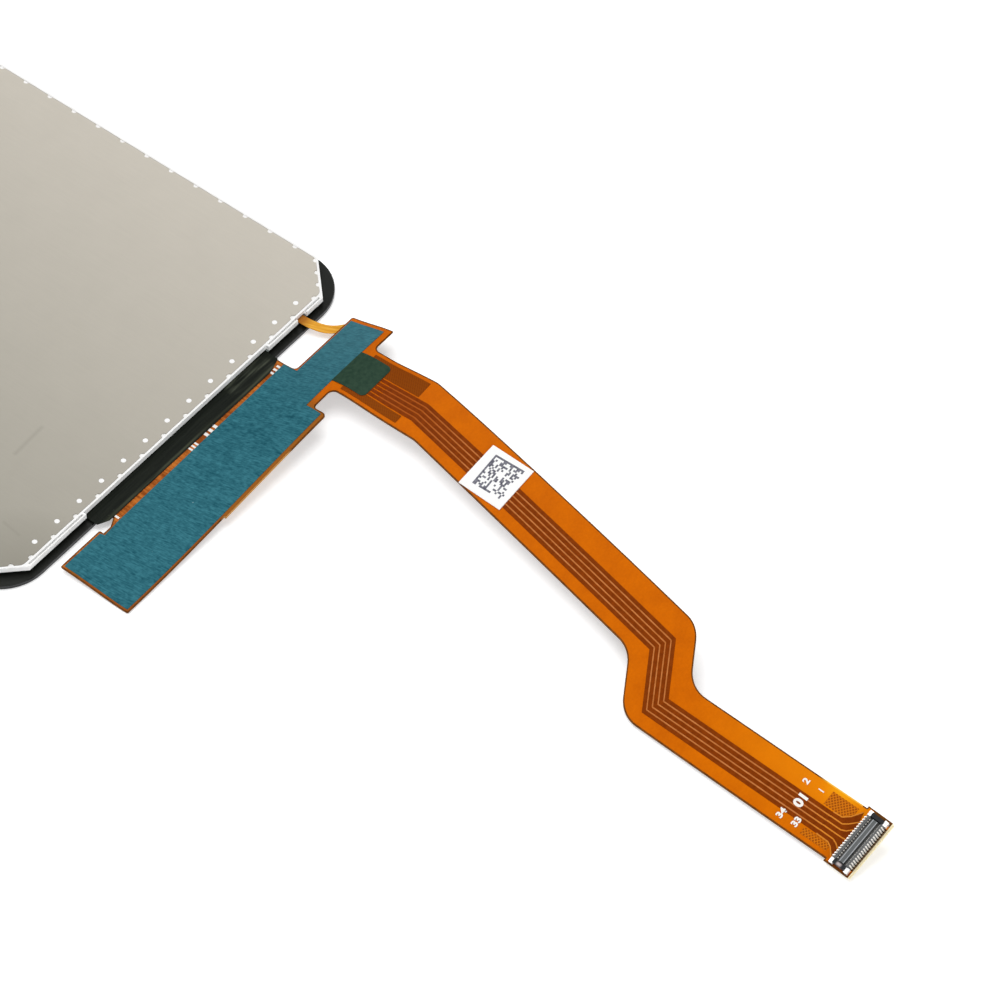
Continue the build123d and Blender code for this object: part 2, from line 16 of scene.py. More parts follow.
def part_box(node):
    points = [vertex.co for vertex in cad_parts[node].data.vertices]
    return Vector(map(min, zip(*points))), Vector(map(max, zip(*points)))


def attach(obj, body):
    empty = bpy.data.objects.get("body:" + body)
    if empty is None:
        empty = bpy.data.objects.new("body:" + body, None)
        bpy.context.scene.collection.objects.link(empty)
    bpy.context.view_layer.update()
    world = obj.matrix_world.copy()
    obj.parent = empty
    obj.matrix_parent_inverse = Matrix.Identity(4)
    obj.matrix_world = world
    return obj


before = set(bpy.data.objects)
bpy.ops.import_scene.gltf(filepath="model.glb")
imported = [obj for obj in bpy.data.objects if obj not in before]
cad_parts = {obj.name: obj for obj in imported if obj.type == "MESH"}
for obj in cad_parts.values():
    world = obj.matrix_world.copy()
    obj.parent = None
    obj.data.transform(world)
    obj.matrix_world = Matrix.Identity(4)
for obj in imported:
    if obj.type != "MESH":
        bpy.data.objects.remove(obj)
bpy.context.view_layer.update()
MM = 0.001
scene = bpy.context.scene
scene.view_settings.view_transform = "Standard"

# %% [markdown]
# ## Camera
# The photograph was taken with a long lens from above the flex end. A long lens keeps the two sides
# of the tail nearly parallel, so the lens is set first and the distance follows from it.

# %% Camera
camera_turn = radians(218.8256)
camera_rise = radians(50.649)
camera_far = 868.4 * MM
camera_target = Vector((17.669, -115.343, 2.0)) * MM
away = Vector((
    cos(camera_turn) * cos(camera_rise),
    sin(camera_turn) * cos(camera_rise),
    sin(camera_rise),
))
camera = bpy.data.objects.new("camera", bpy.data.cameras.new("camera"))
scene.collection.objects.link(camera)
camera.location = camera_target + away * camera_far
camera.rotation_euler = (-away).to_track_quat("-Z", "Y").to_euler()
camera.data.sensor_width = 36
camera.data.lens = 234
camera.data.clip_start = 0.01
camera.data.clip_end = 50
scene.camera = camera
print("camera at", [round(v, 3) for v in camera.location])

# %% [markdown]
# ## Light
# Product photographs like this one use big soft sources, so shadows are faint and close to the
# object. A wide panel overhead makes the soft shadow. A weak one behind the display lights its far
# rim, and a low one in front lights the edges that face the camera.


# %% Panels
def soft_panel(name, offset, size, power):
    """Square area light aimed at the middle of the view, with sizes in metres and power in watts."""
    lamp = bpy.data.lights.new(name, "AREA")
    lamp.shape = "SQUARE"
    lamp.size = size
    lamp.energy = power
    panel = bpy.data.objects.new(name, lamp)
    scene.collection.objects.link(panel)
    panel.location = camera_target + Vector(offset)
    panel.rotation_euler = (-Vector(offset)).to_track_quat("-Z", "Y").to_euler()


soft_panel("overhead_panel", (0.1, 0.3, 1.0), 0.9, 7.0)
soft_panel("side_panel", (-0.5, 0.5, 0.6), 0.5, 0.8)
soft_panel("front_panel", (-0.45, -0.85, 0.32), 0.6, 4.6)
print("panels:", [lamp.name for lamp in bpy.data.lights])

# %% [markdown]
# The world is plain white behind the object. It fills the shadows with less light than the camera
# sees, so that white ground and gentle shading go together.

# %% World
sky_as_light = 0.32
sky_as_seen = 1.0
world = bpy.data.worlds.new("studio")
scene.world = world
world.use_nodes = True
sky = world.node_tree.nodes["Background"]
sky.inputs["Color"].default_value = (1, 1, 1, 1)
rays = world.node_tree.nodes.new("ShaderNodeLightPath")
strength = world.node_tree.nodes.new("ShaderNodeMapRange")
strength.inputs["To Min"].default_value = sky_as_light
strength.inputs["To Max"].default_value = sky_as_seen
world.node_tree.links.new(rays.outputs["Is Camera Ray"], strength.inputs["Value"])
world.node_tree.links.new(strength.outputs["Result"], sky.inputs["Strength"])
print("world:", world.name)

# %% [markdown]
# ## Helpers for finishes
# A finish starts from one shader with its own colour and roughness. The helpers below add the nodes
# and join them up, so that a pattern reads like a sum. Where the editor would show a long net of
# nodes, each line here says what it does.


# %% A finish and its solids
def new_finish(name, color, roughness, specular=0.5, tint=(1, 1, 1), metallic=0.0):
    """Material with one Principled shader; returns it, its tree, the shader and the Object vector."""
    finish = bpy.data.materials.new(name)
    finish.use_nodes = True
    tree = finish.node_tree
    shader = tree.nodes["Principled BSDF"]
    shader.inputs["Base Color"].default_value = (*color, 1)
    shader.inputs["Roughness"].default_value = roughness
    shader.inputs["Metallic"].default_value = metallic
    shader.inputs["Specular IOR Level"].default_value = specular
    shader.inputs["Specular Tint"].default_value = (*tint, 1)
    place = tree.nodes.new("ShaderNodeTexCoord").outputs["Object"]
    return finish, tree, shader, place


def dress(finish, *nodes):
    """Give solids their finish, keeping their meshes as they are."""
    for node in nodes:
        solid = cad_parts[node]
        solid.data.materials.clear()
        solid.data.materials.append(finish)
    print(finish.name, "on", ", ".join(nodes))


# %% Numbers
def math_node(tree, kind, first, second=0.0, clamp=False):
    """Math node whose inputs are sockets or plain numbers."""
    node = tree.nodes.new("ShaderNodeMath")
    node.operation = kind
    node.use_clamp = clamp
    for i, value in enumerate((first, second)):
        if isinstance(value, bpy.types.NodeSocket):
            tree.links.new(value, node.inputs[i])
        else:
            node.inputs[i].default_value = value
    return node.outputs[0]


def product(tree, first, *others):
    """Several masks multiplied together."""
    for other in others:
        first = math_node(tree, "MULTIPLY", first, other)
    return first


def mixture(tree, *parts):
    """Sum of patterns, each with its share."""
    shares = [math_node(tree, "MULTIPLY", value, share) for value, share in parts]
    total = shares[0]
    for share in shares[1:]:
        total = math_node(tree, "ADD", total, share)
    return total


def above(tree, value, limit):
    """Mask that is 1 over a limit."""
    return math_node(tree, "GREATER_THAN", value, limit)


def below(tree, value, limit):
    """Mask that is 1 under a limit."""
    return math_node(tree, "LESS_THAN", value, limit)


def off_line(tree, value, line):
    """How far a value is from a line, on either side of it."""
    return math_node(tree, "ABSOLUTE", math_node(tree, "SUBTRACT", value, line))


def spread(tree, value, low=0.3, high=0.7, to_low=0.0, to_high=1.0):
    """Map Range node that clamps; its usual limits stretch the middle of a noise."""
    node = tree.nodes.new("ShaderNodeMapRange")
    tree.links.new(value, node.inputs["Value"])
    node.inputs["From Min"].default_value = low
    node.inputs["From Max"].default_value = high
    node.inputs["To Min"].default_value = to_low
    node.inputs["To Max"].default_value = to_high
    return node.outputs["Result"]


# %% Colours and relief
def blend_colors(tree, factor, first, second):
    """Colour between two colours or sockets, by a factor socket."""
    node = tree.nodes.new("ShaderNodeMix")
    node.data_type = "RGBA"
    tree.links.new(factor, node.inputs["Factor"])
    for name, value in (("A", first), ("B", second)):
        socket = [s for s in node.inputs if s.name == name and s.type == "RGBA"][0]
        if isinstance(value, bpy.types.NodeSocket):
            tree.links.new(value, socket)
        else:
            socket.default_value = (*value, 1)
    return [s for s in node.outputs if s.type == "RGBA"][0]


def paint(tree, shader, color):
    """Give the shader its colour from a socket."""
    tree.links.new(color, shader.inputs["Base Color"])


def add_bump(tree, shader, height, strength, depth):
    """Relief from a height socket."""
    bump = tree.nodes.new("ShaderNodeBump")
    bump.inputs["Strength"].default_value = strength
    bump.inputs["Distance"].default_value = depth
    tree.links.new(height, bump.inputs["Height"])
    tree.links.new(bump.outputs["Normal"], shader.inputs["Normal"])


# %% Places on a piece
def vector_math(tree, kind, first, second):
    """Vector Math node whose second input is a socket or a plain vector."""
    node = tree.nodes.new("ShaderNodeVectorMath")
    node.operation = kind
    tree.links.new(first, node.inputs[0])
    if isinstance(second, bpy.types.NodeSocket):
        tree.links.new(second, node.inputs[1])
    else:
        node.inputs[1].default_value = second
    return node.outputs


def scaled(tree, vector, factor):
    """Vector times a number socket."""
    node = tree.nodes.new("ShaderNodeVectorMath")
    node.operation = "SCALE"
    tree.links.new(vector, node.inputs[0])
    tree.links.new(factor, node.inputs["Scale"])
    return node.outputs["Vector"]


def axis_of(tree, vector, axis):
    """X, Y or Z of a vector."""
    split = tree.nodes.new("ShaderNodeSeparateXYZ")
    tree.links.new(vector, split.inputs["Vector"])
    return split.outputs[axis]


def distance_from(tree, place, point):
    """Distance from a point given in millimetres."""
    return vector_math(tree, "DISTANCE", place, Vector(point) * MM)["Value"]


# %% Shared groups
def new_group(name, inputs, output="Mask"):
    """Node group with a Vector and named inputs, and one output."""
    group = bpy.data.node_groups.new(name, "ShaderNodeTree")
    group.interface.new_socket("Vector", in_out="INPUT", socket_type="NodeSocketVector")
    for label, value in inputs.items():
        kind = "NodeSocketVector" if isinstance(value, tuple) else "NodeSocketFloat"
        socket = group.interface.new_socket(label, in_out="INPUT", socket_type=kind)
        socket.default_value = value
    group.interface.new_socket(output, in_out="OUTPUT", socket_type="NodeSocketFloat")
    entry = group.nodes.new("NodeGroupInput").outputs
    leave = group.nodes.new("NodeGroupOutput").inputs[0]
    print("group", name, "takes", ", ".join(inputs))
    return group, entry, leave


def use_group(tree, group, place, **values):
    """Place a shared group in a material, with its own values."""
    node = tree.nodes.new("ShaderNodeGroup")
    node.node_tree = group
    tree.links.new(place, node.inputs["Vector"])
    for name, value in values.items():
        node.inputs[name.replace("_", " ").title()].default_value = value
    return node.outputs[0]


# %% [markdown]
# ## Shared patterns
# Five patterns cover the module: fine brushed streaks, mottled grain, specks of dust, a soft line
# between two points for a single scuff and for a painted glare, and the crossed hatching etched into
# copper. A sixth group measures distances from the connector's middle. Each is one node group, so
# that a better streak or grain would be mended in one place. Their sizes are in metres, because the
# Object coordinates are, and the add_ helpers beside them take millimetres.

# %% [markdown]
# Drawn film and brushed film show streaks. A noise looks like streaks once its coordinates are
# divided by a small width and a large length, after a turn to the wanted direction.


# %% Streaks
def turn_about_z(tree, vector, angle):
    """Vector turned about Z by an angle socket."""
    node = tree.nodes.new("ShaderNodeVectorRotate")
    node.rotation_type = "Z_AXIS"
    tree.links.new(vector, node.inputs["Vector"])
    tree.links.new(angle, node.inputs["Angle"])
    return node.outputs["Vector"]


def plain_noise(tree, vector, detail):
    """Noise with one wave to each unit of a vector."""
    node = tree.nodes.new("ShaderNodeTexNoise")
    node.inputs["Scale"].default_value = 1.0
    node.inputs["Detail"].default_value = detail
    tree.links.new(vector, node.inputs["Vector"])
    return node.outputs["Fac"]


streaks, entry, leave = new_group("fine_streaks", {"Turn": 0.0, "Width": 0.0002, "Length": 0.002})
cell = streaks.nodes.new("ShaderNodeCombineXYZ")
streaks.links.new(entry["Width"], cell.inputs["X"])
streaks.links.new(entry["Length"], cell.inputs["Y"])
cell.inputs["Z"].default_value = 1 * MM
turned = turn_about_z(streaks, entry["Vector"], entry["Turn"])
stretched = vector_math(streaks, "DIVIDE", turned, cell.outputs["Vector"])["Vector"]
streaks.links.new(plain_noise(streaks, stretched, 2.0), leave)


def add_streaks(tree, place, width, length, turn=0.0):
    """Fine streaks, with their width and length in millimetres."""
    return use_group(tree, streaks, place, turn=turn, width=width * MM, length=length * MM)


# %% [markdown]
# Nothing real has one even colour. A soft noise with some detail gives the slight clouding of film,
# plastic and metal, at a size that suits each.

# %% Grain
grain, entry, leave = new_group("mottled_grain", {"Size": 0.001})
in_grains = scaled(grain, entry["Vector"], math_node(grain, "DIVIDE", 1.0, entry["Size"]))
grain.links.new(plain_noise(grain, in_grains, 4.0), leave)


def add_grain(tree, place, size):
    """Mottled grain, with its size in millimetres."""
    return use_group(tree, grain, place, size=size * MM)


# %% [markdown]
# Dust settles as single specks of unequal size. A Voronoi texture has one random colour for each
# cell: one channel sets the speck's size, another decides whether the cell has a speck at all.

# %% Dust
largest_speck = 0.05
dust, entry, leave = new_group("dust_specks", {"Spacing": 0.003, "Amount": 0.3})
cells = dust.nodes.new("ShaderNodeTexVoronoi")
cells.inputs["Scale"].default_value = 1.0
in_cells = scaled(dust, entry["Vector"], math_node(dust, "DIVIDE", 1.0, entry["Spacing"]))
dust.links.new(in_cells, cells.inputs["Vector"])
chance = dust.nodes.new("ShaderNodeSeparateColor")
dust.links.new(cells.outputs["Color"], chance.inputs["Color"])
speck_size = math_node(dust, "MULTIPLY", chance.outputs[1], largest_speck)
on_speck = below(dust, cells.outputs["Distance"], speck_size)
has_speck = below(dust, chance.outputs[0], entry["Amount"])
dust.links.new(product(dust, on_speck, has_speck), leave)


def add_dust(tree, place, spacing, amount):
    """Specks of dust, with their spacing in millimetres."""
    return use_group(tree, dust, place, spacing=spacing * MM, amount=amount)


# %% [markdown]
# A scuff is a soft line between two points, and the same line paints a glare on the tape. Its mask
# falls off with the distance from that line, which the group finds by projecting each place onto it.

# %% Scuff and painted glare between two points
scuff_and_glare_line, entry, leave = new_group(
    "single_scuff_and_glare", {"Start": (0.0, 0.0, 0.0), "End": (0.001, 0.0, 0.0), "Width": 0.0002}
)
from_start = vector_math(scuff_and_glare_line, "SUBTRACT", entry["Vector"], entry["Start"])["Vector"]
whole = vector_math(scuff_and_glare_line, "SUBTRACT", entry["End"], entry["Start"])["Vector"]
along = vector_math(scuff_and_glare_line, "DOT_PRODUCT", from_start, whole)["Value"]
whole_squared = vector_math(scuff_and_glare_line, "DOT_PRODUCT", whole, whole)["Value"]
nearest = scaled(scuff_and_glare_line, whole, math_node(scuff_and_glare_line, "DIVIDE", along, whole_squared, clamp=True))
aside = vector_math(scuff_and_glare_line, "DISTANCE", from_start, nearest)["Value"]
in_widths = math_node(scuff_and_glare_line, "DIVIDE", aside, entry["Width"])
scuff_and_glare_line.links.new(math_node(scuff_and_glare_line, "SUBTRACT", 1.0, in_widths, clamp=True), leave)


def add_scuff_and_glare(tree, place, start, end, height, width):
    """One scuff line at a height, also used for a painted glare, with all its sizes in millimetres."""
    start = Vector((*start, height)) * MM
    end = Vector((*end, height)) * MM
    return use_group(tree, scuff_and_glare_line, place, start=start, end=end, width=width * MM)


# %% [markdown]
# Ground copper on a flex is etched into a net, so that it bends easily. Two sets of slanting stripes,
# each a repeated fraction of the distance, make the net where either has copper.

# %% Crossed hatching
hatch, entry, leave = new_group("crossed_hatching", {"Turn": 0.0, "Pitch": 0.0004, "Line": 0.5})
stripes = []
for slant in (pi / 4, 3 * pi / 4):
    turned = turn_about_z(hatch, entry["Vector"], math_node(hatch, "ADD", entry["Turn"], slant))
    rows = math_node(hatch, "DIVIDE", axis_of(hatch, turned, "X"), entry["Pitch"])
    stripes.append(below(hatch, math_node(hatch, "FRACT", rows), entry["Line"]))
hatch.links.new(math_node(hatch, "MAXIMUM", *stripes), leave)

# %% [markdown]
# The connector's pad is turned a little against the axes and leans with the twist of the tail. This
# group gives the distance from the connector's middle in its own directions: along the row of
# contacts, or across the row where Across Row is 1. The lean is read from the largest face of the
# housing.

# %% Distances from the connector's middle
housing_low, housing_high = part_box("connector_housing")
connector_middle = (Vector(housing_low) + Vector(housing_high)) / 2
row_turn = radians(-4.7)
largest = max(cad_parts["connector_housing"].data.polygons, key=lambda face: face.area)
pad_normal = largest.normal * (1 if largest.normal.z > 0 else -1)
row_axis = Vector((cos(row_turn), sin(row_turn), 0))
row_axis = (row_axis - pad_normal * row_axis.dot(pad_normal)).normalized()
side_axis = pad_normal.cross(row_axis)
pad_place, entry, leave = new_group("pad_distance", {"Across Row": 0.0}, "Distance")
moved = vector_math(pad_place, "SUBTRACT", entry["Vector"], connector_middle)["Vector"]
along_row = vector_math(pad_place, "DOT_PRODUCT", moved, row_axis)["Value"]
across_row = vector_math(pad_place, "DOT_PRODUCT", moved, side_axis)["Value"]
other_share = math_node(pad_place, "SUBTRACT", 1.0, entry["Across Row"])
chosen = mixture(pad_place, (along_row, other_share), (across_row, entry["Across Row"]))
pad_place.links.new(chosen, leave)
print("connector leans", [round(v, 3) for v in pad_normal])

# %% [markdown]
# ## A plain finish
# Many small pieces need no more than a colour that wavers between two tones after the grain or the
# streaks. One helper makes them all.


# %% Two-tone finishes
def toned_finish(name, color, roughness, pattern, dark, light, low=0.3, high=0.7, **shine):
    """Colour between two tones; the pattern is a size of grain, or a streak's width, length and turn."""
    finish, tree, shader, place = new_finish(name, color, roughness, **shine)
    if isinstance(pattern, tuple):
        tone = add_streaks(tree, place, *pattern)
    else:
        tone = add_grain(tree, place, pattern)
    paint(tree, shader, blend_colors(tree, spread(tree, tone, low, high), dark, light))
    return finish


# %% [markdown]
# ## Rear sheet
# The grey sheet closes the backlight. It is a satin film with faint lengthwise streaks, and a large
# even surface like this one needs slow changes: painted shading darkens it towards its -X side, and a
# painted shadow darkens the corner next to the tape. A light could do that, but painted colour in the
# finish stays with the piece wherever it is used.

# %% Rear sheet
sheet_top = 2.1
sheet_grey, tree, shader, place = new_finish("rear_sheet_grey", (0.47, 0.43, 0.36), 0.42)
x = axis_of(tree, place, "X")
tone = add_grain(tree, place, 4)
fine = add_streaks(tree, place, 0.25, 6)
# painted shading: the sheet is darker towards its -X side and lighter towards +X
painted_shading_across_x = spread(tree, x, -35 * MM, 35 * MM)
light = blend_colors(tree, painted_shading_across_x, (0.335, 0.315, 0.26), (0.575, 0.533, 0.458))
dim = blend_colors(tree, painted_shading_across_x, (0.315, 0.296, 0.243), (0.548, 0.508, 0.436))
film = blend_colors(tree, spread(tree, mixture(tree, (fine, 0.5), (tone, 0.5))), dim, light)
# painted shadow darkening the corner next to the end of the tape
to_corner = distance_from(tree, place, (-36, -76, sheet_top))
painted_corner_shadow = spread(tree, to_corner, 3 * MM, 16 * MM, 0.75, 0.0)
film = blend_colors(tree, painted_corner_shadow, film, (0.22, 0.205, 0.16))
print(sheet_grey.name, "has", len(tree.nodes), "nodes before its scuffs")

# %% [markdown]
# A used sheet has a few scuffs. A random scratch texture would cover it evenly, so each scuff is
# placed between two given points, and the strongest wins where two meet.

# %% Scuffs on the rear sheet
scuff_strength = 0.35
marks = [
    add_scuff_and_glare(tree, place, start, end, sheet_top, width)
    for start, end, width in (
        ((-16.9, -59.6), (-11.3, -59.3), 0.5),
        ((-26.8, -66.3), (-27.2, -69.3), 0.35),
        ((-6.0, -31.0), (3.5, -28.2), 0.16),
        ((18.5, 12.0), (22.0, 25.5), 0.14),
    )
]
worn = marks[0]
for mark in marks[1:]:
    worn = math_node(tree, "MAXIMUM", worn, mark)
worn = product(tree, worn, scuff_strength)
paint(tree, shader, blend_colors(tree, worn, film, (0.25, 0.235, 0.19)))
tree.links.new(spread(tree, fine, 0.2, 0.8, 0.38, 0.48), shader.inputs["Roughness"])
add_bump(tree, shader, fine, 0.12, 0.01 * MM)
dress(sheet_grey, "rear_sheet")

# %% [markdown]
# ## Frame and reflector
# The frame is white moulded plastic, and the reflector below the sheet is a brighter white film that
# shows as dots through the holes. One flat white would do for both, but two close tones keep them
# apart and let the curved rim show.

# %% White pieces
frame_white = toned_finish(
    "frame_white", (0.86, 0.85, 0.83), 0.4, 1.5, (0.92, 0.915, 0.9), (0.98, 0.98, 0.975)
)
dress(frame_white, "backlight_frame")
dot_white = toned_finish(
    "dot_white", (0.95, 0.95, 0.94), 0.6, 0.6, (0.96, 0.96, 0.95), (1.0, 1.0, 1.0), 0.0, 1.0
)
dress(dot_white, "white_reflector")

# %% [markdown]
# ## Ink border
# The ink lies behind the cover glass and reads as the black band round the frame. Black shows dust
# more than anything else, so a few specks make it look like a real surface.

# %% Ink
ink_black, tree, shader, place = new_finish("border_ink", (0.017, 0.018, 0.016), 0.35, 0.1)
tone = add_grain(tree, place, 2)
specks = add_dust(tree, place, 2.2, 0.3)
base = blend_colors(tree, spread(tree, tone), (0.01, 0.011, 0.009), (0.016, 0.017, 0.015))
paint(tree, shader, blend_colors(tree, specks, base, (0.12, 0.12, 0.11)))
dress(ink_black, "border_print")

# %% [markdown]
# ## Black tape
# The tape over the ledge is matter than the ink and has soft streaks along the ledge. It bends down
# onto the flex, and there a broken crease catches the light. The crease is a painted highlight, a line
# of paler colour at one Y, made patchy by longer streaks.

# %% Tape
crease_y = -76.1
tape_black, tree, shader, place = new_finish("tape_black", (0.008, 0.01, 0.008), 0.5, 0.08)
y = axis_of(tree, place, "Y")
tone = add_streaks(tree, place, 0.25, 6, pi / 2)
patchy = add_streaks(tree, place, 0.6, 9, pi / 2)
base = blend_colors(tree, spread(tree, tone, 0.35, 0.75), (0.004, 0.006, 0.004), (0.011, 0.014, 0.009))
on_crease = spread(tree, off_line(tree, y, crease_y * MM), 0.05 * MM, 0.3 * MM, 1.0, 0.0)
crease_highlight = product(tree, on_crease, spread(tree, patchy, 0.35, 0.6))
# painted highlight: the crease is paler where it catches the light
base = blend_colors(tree, crease_highlight, base, (0.05, 0.056, 0.034))
# a broad painted glare lies on the slope near its +X end
painted_tape_glare = add_scuff_and_glare(tree, place, (11.0, -74.2), (16.8, -74.9), 1.5, 1.5)
painted_tape_glare = product(tree, painted_tape_glare, spread(tree, patchy, 0.4, 0.6))
base = blend_colors(tree, painted_tape_glare, base, (0.09, 0.1, 0.07))
specks = add_dust(tree, place, 1.2, 0.25)
paint(tree, shader, blend_colors(tree, specks, base, (0.08, 0.09, 0.065)))
add_bump(tree, shader, tone, 0.3, 0.03 * MM)
dress(tape_black, "ledge_tape", "rim_tape")

# %% [markdown]
# ## Cover glass
# The glass is backed by black ink, so from behind only its dark polished edge shows. A dark base
# with a low, slightly smeared roughness is enough, and clear glass would only add noise.

# %% Cover glass
glass_dark, tree, shader, place = new_finish("cover_glass", (0.008, 0.009, 0.01), 0.06, 0.3)
smear = add_grain(tree, place, 12)
tree.links.new(spread(tree, smear, 0.35, 0.75, 0.04, 0.14), shader.inputs["Roughness"])
dress(glass_dark, "cover_lens")

# %% [markdown]
# ## Hidden layers
# Glass, films, chip and LEDs lie under the sheet and the tape. They get plain two-tone finishes, so
# that the part also looks right when a layer is taken off.

# %% Hidden layers
thin_glass = toned_finish(
    "thin_glass", (0.30, 0.34, 0.33), 0.12, 3, (0.25, 0.29, 0.28), (0.36, 0.4, 0.39), 0.0, 1.0
)
dress(thin_glass, "colour_filter_glass", "tft_glass")
clear_film = toned_finish(
    "clear_film", (0.7, 0.7, 0.69), 0.2, 2, (0.66, 0.66, 0.65), (0.74, 0.74, 0.73), 0.0, 1.0
)
dress(
    clear_film,
    "optical_adhesive", "prism_film_upper", "prism_film_lower", "diffuser_film", "light_guide",
)
polarizer = toned_finish(
    "polarizer", (0.05, 0.05, 0.06), 0.25, (0.4, 10, 0.8),
    (0.04, 0.04, 0.05), (0.06, 0.06, 0.07), 0.0, 1.0,
)
dress(polarizer, "front_polarizer", "rear_polarizer")
silicon = toned_finish(
    "silicon", (0.03, 0.03, 0.035), 0.25, 0.4, (0.025, 0.025, 0.03), (0.045, 0.045, 0.05), 0.0, 1.0
)
dress(silicon, "driver_chip", "bond_film")
led_white = toned_finish(
    "led_package", (0.8, 0.8, 0.74), 0.35, 0.5, (0.76, 0.76, 0.68), (0.84, 0.84, 0.8), 0.0, 1.0
)
dress(led_white, "leds")

# %% [markdown]
# ## Cut edge of the flex
# Flexible circuits are copper between amber films. Over full copper the film looks orange, at its
# cut edge brown. A painted highlight turns the edge golden along the middle of the board, and a
# painted glare brightens it where the light grazes the tail just before the pad. Such short changes
# are masks on X and Y, because they belong to a place on the piece and not to a pattern.

# %% Cut edge
edge_brown, tree, shader, place = new_finish(
    "film_edge_brown", (0.2, 0.06, 0.008), 0.35, 0.2, (1, 0.5, 0.1)
)
x = axis_of(tree, place, "X")
y = axis_of(tree, place, "Y")
tone = add_grain(tree, place, 0.8)
edge = blend_colors(tree, spread(tree, tone), (0.075, 0.022, 0.003), (0.19, 0.058, 0.008))
# painted highlight: the edge is lit golden along the middle of the board
board_edge_highlight = product(
    tree,
    spread(tree, x, -8 * MM, -7 * MM),
    spread(tree, x, 6.5 * MM, 5.5 * MM),
    above(tree, y, -92 * MM),
)
edge = blend_colors(tree, board_edge_highlight, edge, (0.52, 0.27, 0.085))
# painted glare: the edge is bright where the light grazes the tail just before the pad
pad_edge_glare = product(
    tree,
    spread(tree, y, -177.2 * MM, -178.6 * MM),
    above(tree, y, -184.4 * MM),
    above(tree, x, 4 * MM),
)
edge = blend_colors(tree, pad_edge_glare, edge, (0.92, 0.52, 0.06))
# the very end of the pad is bare, in the cream tone of the plate below it
side_place = use_group(tree, pad_place, place, across_row=1.0)
edge = blend_colors(tree, below(tree, side_place, -1.75 * MM), edge, (0.98, 0.88, 0.6))
paint(tree, shader, edge)
dress(edge_brown, "flex")

# %% [markdown]
# ## Cover film
# The orange film covers board and tail. Its colour comes from the copper below, so it is clouded at
# two sizes. Round the board's teal film its narrow border is dull, and in the bond strip beside the
# tape the ends of the copper lines show through. Glassy amber over real copper could be modelled
# too, but at this thickness a colour gives the same look and is steadier.

# %% Cover film on the board
cover_orange, tree, shader, place = new_finish(
    "cover_film_orange", (0.645, 0.138, 0.002), 0.33, 0.18, (1, 0.4, 0.01)
)
x = axis_of(tree, place, "X")
y = axis_of(tree, place, "Y")
tone = add_grain(tree, place, 3)
clouding = mixture(tree, (tone, 0.65), (add_grain(tree, place, 0.35), 0.35))
amber = blend_colors(tree, spread(tree, clouding, 0.35, 0.65), (0.55, 0.106, 0.0004), (0.66, 0.14, 0.0006))
# painted highlight: the border is brown on the board's -X half, and lit golden on the other and at the tab
golden_highlight = math_node(
    tree, "MAXIMUM", spread(tree, x, -8 * MM, -7 * MM), spread(tree, y, -81 * MM, -79 * MM)
)
border = blend_colors(tree, golden_highlight, (0.22, 0.07, 0.018), (0.22, 0.09, 0.016))
at_board = product(tree, above(tree, y, -95 * MM), spread(tree, x, 16.5 * MM, 13.5 * MM, 0.0, 0.75))
amber = blend_colors(tree, at_board, amber, border)
ends = mixture(tree, (add_streaks(tree, place, 0.45, 4), 0.55), (add_grain(tree, place, 1.4), 0.45))
copper_ends = blend_colors(tree, spread(tree, ends, 0.42, 0.6), (0.25, 0.055, 0.008), (0.55, 0.16, 0.025))
amber = blend_colors(tree, above(tree, y, -77.4 * MM), amber, copper_ends)
print(cover_orange.name, "has", len(tree.nodes), "nodes for the board")

# %% [markdown]
# The tail arches down to the connector, so its last leg meets the light at a flatter angle: painted
# light brightens it towards the pad, and more so along its +X edge, where it ends in a small painted
# glare.

# %% Cover film on the last leg
# painted light: brighter towards the pad and towards the +X edge
painted_light_toward_pad = spread(tree, y, -156 * MM, -182 * MM)
painted_light_toward_pad = product(tree, painted_light_toward_pad, spread(tree, x, -1.5 * MM, 5.5 * MM, 0.05, 0.9))
amber = blend_colors(tree, painted_light_toward_pad, amber, (0.84, 0.245, 0.002))
# painted glare at the end of the +X edge
to_glare = distance_from(tree, place, (7.4, -181.2, 2.9))
painted_pad_glare = spread(tree, to_glare, 0.6 * MM, 4.2 * MM, 1.0, 0.0)
amber = blend_colors(tree, product(tree, painted_pad_glare, painted_pad_glare), amber, (0.98, 0.46, 0.008))
print(cover_orange.name, "has", len(tree.nodes), "nodes with the last leg")

# %% [markdown]
# Round the connector the film is darker in places. Below the contacts' feet it has dark windows,
# past the connector's -X end it is brown and past the other nearly black. All of them are masks in
# the connector's own directions, because the pad is turned and leans.

# %% Cover film on the pad
row_place = use_group(tree, pad_place, place)
side_place = use_group(tree, pad_place, place, across_row=1.0)
window = product(
    tree,
    below(tree, off_line(tree, row_place, 0.0), 3.5 * MM),
    below(tree, off_line(tree, side_place, 0.0), 1.7 * MM),
)
amber = blend_colors(tree, window, amber, (0.03, 0.016, 0.008))
low_side = below(tree, side_place, 1.25 * MM)
# dark brown past the connector's -X end
brown_past_end = product(tree, spread(tree, row_place, -3.5 * MM, -4.1 * MM, 0.0, 0.8), low_side)
amber = blend_colors(tree, brown_past_end, amber, (0.16, 0.024, 0.004))
# nearly black past the connector's +X end
dark_past_end = product(tree, spread(tree, row_place, 3.9 * MM, 4.1 * MM, 0.0, 0.9), low_side)
amber = blend_colors(tree, dark_past_end, amber, (0.03, 0.018, 0.012))
paint(tree, shader, amber)
tree.links.new(spread(tree, tone, 0.3, 0.7, 0.28, 0.4), shader.inputs["Roughness"])
add_bump(tree, shader, tone, 0.1, 0.05 * MM)
dress(cover_orange, "cover_film")

